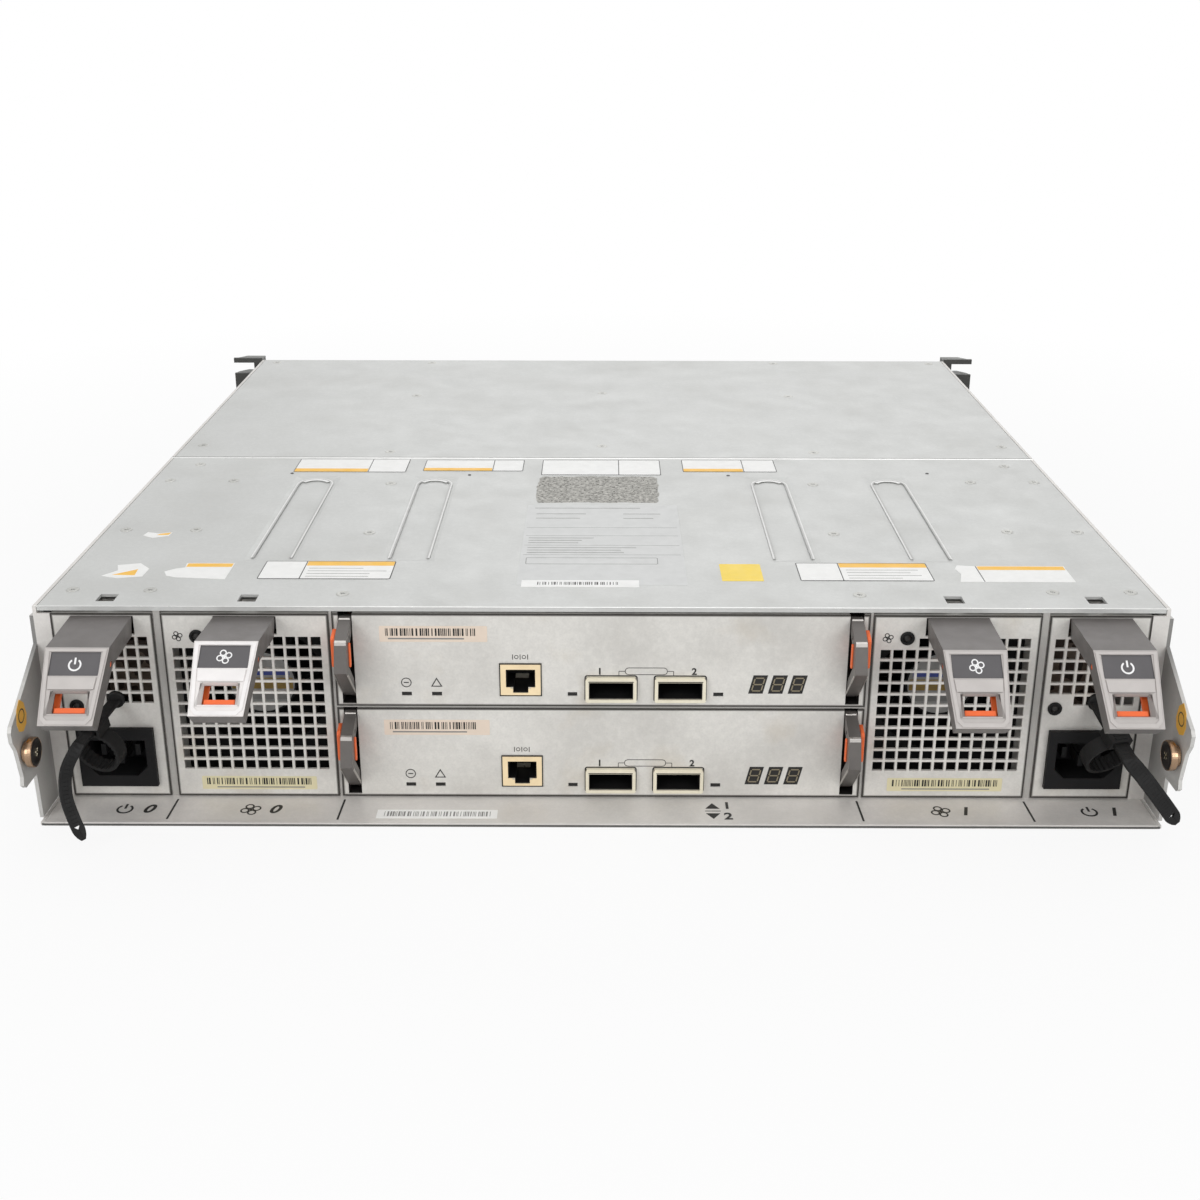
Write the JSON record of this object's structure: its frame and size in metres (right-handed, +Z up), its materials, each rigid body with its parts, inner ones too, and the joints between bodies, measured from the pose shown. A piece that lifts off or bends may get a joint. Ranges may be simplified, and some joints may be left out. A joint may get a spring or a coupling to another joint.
{
  "type": "disk shelf enclosure",
  "caption": "Rack-mounted shelf for small disk drives, with power, fan and expander modules behind pull handles and orange latches at the rear and carriers with levers at the front.",
  "frame": {"origin": "centre of the chassis's underside", "axes": "+Z up, -Y towards the rear where the modules plug in, +Y towards the drives, X across the rack"},
  "size_m": [0.4826, 0.4751, 0.0876],
  "materials": {
    "cover_steel": "satin light grey, zinc look",
    "tray_steel": "satin grey zinc-plated sheet",
    "bracket_steel": "satin dark grey",
    "ear_steel": "satin dark grey",
    "lock_screw": "satin",
    "module_steel": "satin warm light grey",
    "fan_plastic": "matte black",
    "handle_plastic": "satin grey",
    "latch_plastic": "satin orange",
    "inlet_plastic": "matte black",
    "strap_plastic": "matte black nylon",
    "core_parts": "dark",
    "board": "green board",
    "socket_steel": "satin",
    "indicator_plastic": "dark clear",
    "lever_steel": "satin grey",
    "cage_steel": "zinc-plated",
    "bezel_plastic": "matte dark grey",
    "bezel_lever": "satin grey"
  },
  "bodies": {
    "chassis": {"chassis_tray": "tray_steel", "rear_cover": "cover_steel", "front_cover": "cover_steel", "rail_bracket_left": "bracket_steel", "rail_bracket_right": "bracket_steel", "rack_ear_left": "ear_steel", "rack_ear_right": "ear_steel", "module_cage": "cage_steel", "drive_cage": "cage_steel", "midplane": "board", "drive_carriers": "bezel_plastic", "drive_levers": "bezel_lever"},
    "thumbscrew_left": {"thumbscrew_left": "lock_screw"},
    "thumbscrew_right": {"thumbscrew_right": "lock_screw"},
    "fan_0": {"fan_0_housing": "module_steel", "fan_0_frame": "fan_plastic"},
    "fan_0_rotor": {"fan_0_rotor": "fan_plastic"},
    "fan_0_handle": {"fan_0_handle": "handle_plastic"},
    "fan_0_latch": {"fan_0_latch": "latch_plastic"},
    "fan_1": {"fan_1_housing": "module_steel", "fan_1_frame": "fan_plastic"},
    "fan_1_rotor": {"fan_1_rotor": "fan_plastic"},
    "fan_1_handle": {"fan_1_handle": "handle_plastic"},
    "fan_1_latch": {"fan_1_latch": "latch_plastic"},
    "power_0": {"power_0_housing": "module_steel", "power_0_inlet": "inlet_plastic", "power_0_strap": "strap_plastic", "power_0_core": "core_parts"},
    "power_0_handle": {"power_0_handle": "handle_plastic"},
    "power_0_latch": {"power_0_latch": "latch_plastic"},
    "power_0_clamp": {"power_0_clamp": "strap_plastic"},
    "power_1": {"power_1_housing": "module_steel", "power_1_inlet": "inlet_plastic", "power_1_strap": "strap_plastic", "power_1_core": "core_parts"},
    "power_1_handle": {"power_1_handle": "handle_plastic"},
    "power_1_latch": {"power_1_latch": "latch_plastic"},
    "power_1_clamp": {"power_1_clamp": "strap_plastic"},
    "expander_a": {"expander_a_shell": "module_steel", "expander_a_board": "board", "expander_a_ports": "socket_steel", "expander_a_indicators": "indicator_plastic"},
    "expander_a_lever_left": {"expander_a_lever_left": "lever_steel"},
    "expander_a_latch_left": {"expander_a_latch_left": "latch_plastic"},
    "expander_a_lever_right": {"expander_a_lever_right": "lever_steel"},
    "expander_a_latch_right": {"expander_a_latch_right": "latch_plastic"},
    "expander_b": {"expander_b_shell": "module_steel", "expander_b_board": "board", "expander_b_ports": "socket_steel", "expander_b_indicators": "indicator_plastic"},
    "expander_b_lever_left": {"expander_b_lever_left": "lever_steel"},
    "expander_b_latch_left": {"expander_b_latch_left": "latch_plastic"},
    "expander_b_lever_right": {"expander_b_lever_right": "lever_steel"},
    "expander_b_latch_right": {"expander_b_latch_right": "latch_plastic"},
    "drive_0": {"drive_0_carrier": "bezel_plastic"},
    "drive_0_lever": {"drive_0_lever": "bezel_lever"},
    "drive_23": {"drive_23_carrier": "bezel_plastic"},
    "drive_23_lever": {"drive_23_lever": "bezel_lever"}
  },
  "joints": [
    {"name": "thumbscrew_left_turn", "type": "hinge", "parent": "chassis", "child": "thumbscrew_left", "pos_m": [-0.229, -0.2315, 0.0356], "axis": [-1, 0, 0], "continuous": true},
    {"name": "thumbscrew_right_turn", "type": "hinge", "parent": "chassis", "child": "thumbscrew_right", "pos_m": [0.229, -0.2315, 0.0356], "axis": [1, 0, 0], "continuous": true},
    {"name": "fan_0_slide", "type": "slide", "parent": "chassis", "child": "fan_0", "axis": [0, -1, 0], "range_m": [0, 0.22]},
    {"name": "fan_0_handle_swing", "type": "hinge", "parent": "fan_0", "child": "fan_0_handle", "pos_m": [-0.1402, -0.2085, 0.0775], "axis": [-1, 0, 0], "range_deg": [-6, 49]},
    {"name": "fan_0_latch_squeeze", "type": "hinge", "parent": "fan_0_handle", "child": "fan_0_latch", "pos_m": [-0.1402, -0.23245, 0.076], "axis": [-1, 0, 0], "range_deg": [0, 6], "stiffness_Nm_per_rad": 0.05, "springref_deg": -8.59},
    {"name": "fan_0_spin", "type": "hinge", "parent": "fan_0", "child": "fan_0_rotor", "pos_m": [-0.1402, -0.171, 0.0437], "axis": [0, 1, 0], "continuous": true},
    {"name": "fan_1_slide", "type": "slide", "parent": "chassis", "child": "fan_1", "axis": [0, -1, 0], "range_m": [0, 0.22]},
    {"name": "fan_1_handle_swing", "type": "hinge", "parent": "fan_1", "child": "fan_1_handle", "pos_m": [0.1402, -0.2085, 0.0775], "axis": [-1, 0, 0], "range_deg": [0, 55]},
    {"name": "fan_1_latch_squeeze", "type": "hinge", "parent": "fan_1_handle", "child": "fan_1_latch", "pos_m": [0.1402, -0.23216, 0.0735], "axis": [-1, 0, 0], "range_deg": [0, 6], "stiffness_Nm_per_rad": 0.05, "springref_deg": -8.59},
    {"name": "fan_1_spin", "type": "hinge", "parent": "fan_1", "child": "fan_1_rotor", "pos_m": [0.1402, -0.171, 0.0437], "axis": [0, 1, 0], "continuous": true},
    {"name": "power_0_slide", "type": "slide", "parent": "chassis", "child": "power_0", "axis": [0, -1, 0], "range_m": [0, 0.22]},
    {"name": "power_0_handle_swing", "type": "hinge", "parent": "power_0", "child": "power_0_handle", "pos_m": [-0.1963, -0.2085, 0.0775], "axis": [-1, 0, 0], "range_deg": [0, 55]},
    {"name": "power_0_latch_squeeze", "type": "hinge", "parent": "power_0_handle", "child": "power_0_latch", "pos_m": [-0.1963, -0.23216, 0.0735], "axis": [-1, 0, 0], "range_deg": [0, 6], "stiffness_Nm_per_rad": 0.05, "springref_deg": -8.59},
    {"name": "power_0_clamp_slide", "type": "slide", "parent": "power_0", "child": "power_0_clamp", "axis": [-0.2384, -0.9459, -0.22], "range_m": [0, 0.005]},
    {"name": "power_1_slide", "type": "slide", "parent": "chassis", "child": "power_1", "axis": [0, -1, 0], "range_m": [0, 0.22]},
    {"name": "power_1_handle_swing", "type": "hinge", "parent": "power_1", "child": "power_1_handle", "pos_m": [0.1963, -0.2085, 0.0775], "axis": [-1, 0, 0], "range_deg": [0, 55]},
    {"name": "power_1_latch_squeeze", "type": "hinge", "parent": "power_1_handle", "child": "power_1_latch", "pos_m": [0.1963, -0.23216, 0.0735], "axis": [-1, 0, 0], "range_deg": [0, 6], "stiffness_Nm_per_rad": 0.05, "springref_deg": -8.59},
    {"name": "power_1_clamp_slide", "type": "slide", "parent": "power_1", "child": "power_1_clamp", "axis": [0.2425, -0.8507, -0.4664], "range_m": [0, 0.005]},
    {"name": "expander_a_slide", "type": "slide", "parent": "chassis", "child": "expander_a", "axis": [0, -1, 0], "range_m": [0, 0.22]},
    {"name": "expander_a_lever_left_swing", "type": "hinge", "parent": "expander_a", "child": "expander_a_lever_left", "pos_m": [-0.10065, -0.2038, 0.0798], "axis": [-1, 0, 0], "range_deg": [0, 45]},
    {"name": "expander_a_latch_left_pinch", "type": "hinge", "parent": "expander_a_lever_left", "child": "expander_a_latch_left", "pos_m": [-0.10065, -0.2116, 0.0756], "axis": [-1, 0, 0], "range_deg": [0, 6], "stiffness_Nm_per_rad": 0.05, "springref_deg": -8.59},
    {"name": "expander_a_lever_right_swing", "type": "hinge", "parent": "expander_a", "child": "expander_a_lever_right", "pos_m": [0.10065, -0.2038, 0.0798], "axis": [-1, 0, 0], "range_deg": [0, 45]},
    {"name": "expander_a_latch_right_pinch", "type": "hinge", "parent": "expander_a_lever_right", "child": "expander_a_latch_right", "pos_m": [0.10065, -0.2116, 0.0756], "axis": [-1, 0, 0], "range_deg": [0, 6], "stiffness_Nm_per_rad": 0.05, "springref_deg": -8.59},
    {"name": "expander_b_slide", "type": "slide", "parent": "chassis", "child": "expander_b", "axis": [0, -1, 0], "range_m": [0, 0.22]},
    {"name": "expander_b_lever_left_swing", "type": "hinge", "parent": "expander_b", "child": "expander_b_lever_left", "pos_m": [-0.10065, -0.2038, 0.0386], "axis": [-1, 0, 0], "range_deg": [0, 45]},
    {"name": "expander_b_latch_left_pinch", "type": "hinge", "parent": "expander_b_lever_left", "child": "expander_b_latch_left", "pos_m": [-0.10065, -0.2116, 0.0344], "axis": [-1, 0, 0], "range_deg": [0, 6], "stiffness_Nm_per_rad": 0.05, "springref_deg": -8.59},
    {"name": "expander_b_lever_right_swing", "type": "hinge", "parent": "expander_b", "child": "expander_b_lever_right", "pos_m": [0.10065, -0.2038, 0.0386], "axis": [-1, 0, 0], "range_deg": [0, 45]},
    {"name": "expander_b_latch_right_pinch", "type": "hinge", "parent": "expander_b_lever_right", "child": "expander_b_latch_right", "pos_m": [0.10065, -0.2116, 0.0344], "axis": [-1, 0, 0], "range_deg": [0, 6], "stiffness_Nm_per_rad": 0.05, "springref_deg": -8.59},
    {"name": "drive_0_slide", "type": "slide", "parent": "chassis", "child": "drive_0", "axis": [0, 1, 0], "range_m": [0, 0.14]},
    {"name": "drive_0_lever_swing", "type": "hinge", "parent": "drive_0", "child": "drive_0_lever", "pos_m": [-0.20855, 0.215, 0.0175], "axis": [-1, 0, 0], "range_deg": [0, 60]},
    {"name": "drive_23_slide", "type": "slide", "parent": "chassis", "child": "drive_23", "axis": [0, 1, 0], "range_m": [0, 0.14]},
    {"name": "drive_23_lever_swing", "type": "hinge", "parent": "drive_23", "child": "drive_23_lever", "pos_m": [0.20855, 0.215, 0.0175], "axis": [-1, 0, 0], "range_deg": [0, 60]}
  ]
}
